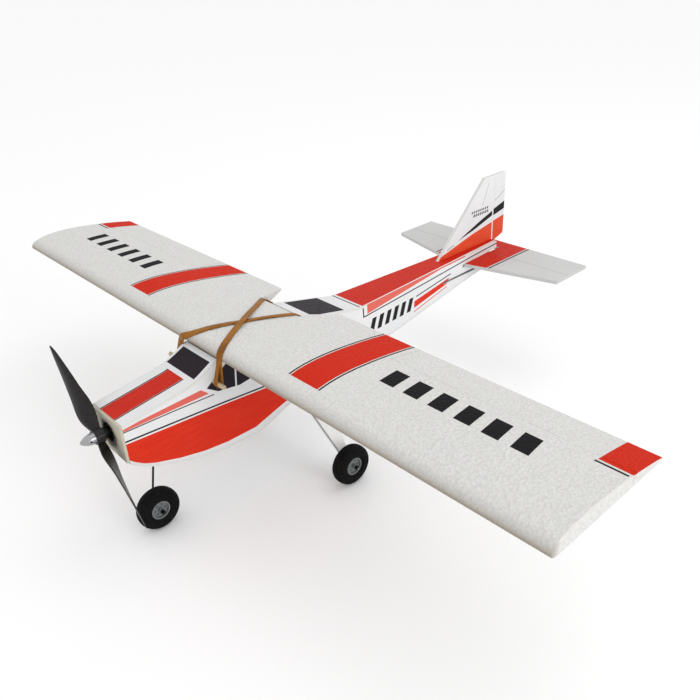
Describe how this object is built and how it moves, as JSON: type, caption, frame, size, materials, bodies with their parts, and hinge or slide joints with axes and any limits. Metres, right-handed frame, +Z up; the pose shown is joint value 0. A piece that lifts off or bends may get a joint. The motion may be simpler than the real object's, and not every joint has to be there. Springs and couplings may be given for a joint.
{
  "type": "radio-controlled model airplane",
  "caption": "High-wing foam trainer airplane with a nose propeller, wheeled undercarriage, a wing held on by rubber bands, and hinged control surfaces driven by servos.",
  "frame": {"origin": "on the ground, under the middle of the airplane's bounding box", "axes": "+X to the port wing tip, +Y from the propeller to the tail, +Z up"},
  "size_m": [0.96, 0.7408, 0.288],
  "materials": {
    "bead_foam": "matt moulded bead foam",
    "foam_board": "matt paper-faced foam board",
    "plywood": "bare birch plywood",
    "carbon_tube": "glossy carbon tube",
    "white_plastic": "moulded nylon",
    "grey_plastic": "moulded nylon",
    "prop_plastic": "glossy moulded nylon",
    "black_plastic": "satin moulded case",
    "blue_plastic": "tinted moulded case",
    "aluminium": "turned",
    "motor_can": "anodised",
    "copper_core": "enamelled windings",
    "steel_wire": "bright wire",
    "steel_screw": "plated",
    "tyre_foam": "matt soft foam rubber",
    "hub_plastic": "moulded",
    "dowel_wood": "sanded dowel",
    "amber_rubber": "natural rubber",
    "shrink_wrap": "shrink sleeve",
    "strap_fabric": "hook-and-loop strap"
  },
  "bodies": {
    "airframe": {"aileron_servos": "blue_plastic", "battery": "shrink_wrap", "battery_strap": "strap_fabric", "battery_tray": "plywood", "fin": "foam_board", "firewall": "plywood", "formers": "plywood", "fuselage_bottom": "foam_board", "fuselage_side_port": "foam_board", "fuselage_side_starboard": "foam_board", "gear_blocks": "plywood", "gear_fairings": "white_plastic", "gear_saddles": "white_plastic", "gear_screws": "steel_screw", "main_gear_wire": "steel_wire", "motor_mount": "aluminium", "motor_screws": "steel_screw", "motor_stator": "copper_core", "nose_deck": "foam_board", "nose_gear_wire": "steel_wire", "nose_ring": "plywood", "radio_tray": "plywood", "rear_deck": "foam_board", "receiver": "black_plastic", "rubber_bands": "amber_rubber", "servo_tray": "plywood", "speed_controller": "shrink_wrap", "stabilizer": "foam_board", "tail_servos": "blue_plastic", "wheel_collars": "aluminium", "wing": "bead_foam", "wing_caps": "white_plastic", "wing_dowels": "dowel_wood", "wing_spar": "carbon_tube"},
    "rotor": {"motor_bell": "motor_can", "prop_adapter": "aluminium", "propeller": "prop_plastic", "spinner_nut": "aluminium"},
    "nose_wheel": {"tyre_nose": "tyre_foam", "wheel_hub_nose": "hub_plastic"},
    "main_wheel_port": {"tyre_port": "tyre_foam", "wheel_hub_port": "hub_plastic"},
    "main_wheel_starboard": {"tyre_starboard": "tyre_foam", "wheel_hub_starboard": "hub_plastic"},
    "aileron_port": {"aileron_port": "bead_foam", "aileron_horn_port": "white_plastic"},
    "aileron_starboard": {"aileron_starboard": "bead_foam", "aileron_horn_starboard": "white_plastic"},
    "elevator": {"elevator": "foam_board", "elevator_horn": "white_plastic"},
    "rudder": {"rudder": "foam_board", "rudder_horn": "white_plastic"},
    "aileron_arm_port": {"aileron_servo_arm_port": "white_plastic"},
    "aileron_arm_starboard": {"aileron_servo_arm_starboard": "white_plastic"},
    "elevator_arm": {"elevator_servo_arm": "white_plastic"},
    "rudder_arm": {"rudder_servo_arm": "white_plastic"},
    "aileron_rod_port": {"aileron_pushrod_port": "steel_wire"},
    "aileron_rod_starboard": {"aileron_pushrod_starboard": "steel_wire"},
    "elevator_rod": {"elevator_pushrod": "steel_wire"},
    "rudder_rod": {"rudder_pushrod": "steel_wire"}
  },
  "joints": [
    {"name": "propeller_spin", "type": "hinge", "parent": "airframe", "child": "rotor", "pos_m": [0, -0.34915, 0.153], "axis": [0, 1, 0], "continuous": true},
    {"name": "nose_wheel_spin", "type": "hinge", "parent": "airframe", "child": "nose_wheel", "pos_m": [0.007, -0.30315, 0.027], "axis": [1, 0, 0], "continuous": true},
    {"name": "main_wheel_port_spin", "type": "hinge", "parent": "airframe", "child": "main_wheel_port", "pos_m": [0.113, -0.08415, 0.027], "axis": [1, 0, 0], "continuous": true},
    {"name": "main_wheel_starboard_spin", "type": "hinge", "parent": "airframe", "child": "main_wheel_starboard", "pos_m": [-0.113, -0.08415, 0.027], "axis": [1, 0, 0], "continuous": true},
    {"name": "aileron_port_hinge", "type": "hinge", "parent": "airframe", "child": "aileron_port", "pos_m": [0.337, -0.08615, 0.20999], "axis": [1, 0, 0], "range_deg": [-20, 20]},
    {"name": "aileron_starboard_hinge", "type": "hinge", "parent": "airframe", "child": "aileron_starboard", "pos_m": [-0.337, -0.08615, 0.20999], "axis": [1, 0, 0], "range_deg": [-20, 20]},
    {"name": "aileron_arm_port_pivot", "type": "hinge", "parent": "airframe", "child": "aileron_arm_port", "pos_m": [0.23665, -0.11715, 0.20999], "axis": [1, 0, 0], "range_deg": [-20, 20]},
    {"name": "aileron_arm_starboard_pivot", "type": "hinge", "parent": "airframe", "child": "aileron_arm_starboard", "pos_m": [-0.23665, -0.11715, 0.20999], "axis": [1, 0, 0], "range_deg": [-20, 20]},
    {"name": "aileron_rod_port_pivot", "type": "hinge", "parent": "aileron_arm_port", "child": "aileron_rod_port", "pos_m": [0.23665, -0.11715, 0.19799], "axis": [1, 0, 0], "range_deg": [-20, 20]},
    {"name": "aileron_rod_starboard_pivot", "type": "hinge", "parent": "aileron_arm_starboard", "child": "aileron_rod_starboard", "pos_m": [-0.23665, -0.11715, 0.19799], "axis": [1, 0, 0], "range_deg": [-20, 20]},
    {"name": "elevator_hinge", "type": "hinge", "parent": "airframe", "child": "elevator", "pos_m": [0, 0.32485, 0.1667], "axis": [1, 0, 0], "range_deg": [-15, 15]},
    {"name": "elevator_arm_pivot", "type": "hinge", "parent": "airframe", "child": "elevator_arm", "pos_m": [0.02, -0.06215, 0.1585], "axis": [0, 0, 1], "range_deg": [-15, 15]},
    {"name": "elevator_rod_pivot", "type": "hinge", "parent": "elevator_arm", "child": "elevator_rod", "pos_m": [0.005, -0.06215, 0.1585], "axis": [0, 0, 1], "range_deg": [-15, 15]},
    {"name": "rudder_hinge", "type": "hinge", "parent": "airframe", "child": "rudder", "pos_m": [0, 0.34025, 0.234], "axis": [0, 0, 1], "range_deg": [-25, 25]},
    {"name": "rudder_arm_pivot", "type": "hinge", "parent": "airframe", "child": "rudder_arm", "pos_m": [-0.006, -0.02215, 0.1585], "axis": [0, 0, 1], "range_deg": [-25, 25]},
    {"name": "rudder_rod_pivot", "type": "hinge", "parent": "rudder_arm", "child": "rudder_rod", "pos_m": [-0.016, -0.02215, 0.1585], "axis": [0, 0, 1], "range_deg": [-25, 25]}
  ],
  "couplings": [
    {"joint": "aileron_starboard_hinge", "follows": "aileron_port_hinge", "ratio": -1},
    {"joint": "aileron_arm_port_pivot", "follows": "aileron_port_hinge", "ratio": 1},
    {"joint": "aileron_rod_port_pivot", "follows": "aileron_port_hinge", "ratio": -1},
    {"joint": "aileron_arm_starboard_pivot", "follows": "aileron_port_hinge", "ratio": -1},
    {"joint": "aileron_rod_starboard_pivot", "follows": "aileron_port_hinge", "ratio": 1},
    {"joint": "elevator_arm_pivot", "follows": "elevator_hinge", "ratio": -1},
    {"joint": "elevator_rod_pivot", "follows": "elevator_hinge", "ratio": 1},
    {"joint": "rudder_arm_pivot", "follows": "rudder_hinge", "ratio": 1},
    {"joint": "rudder_rod_pivot", "follows": "rudder_hinge", "ratio": -1}
  ]
}
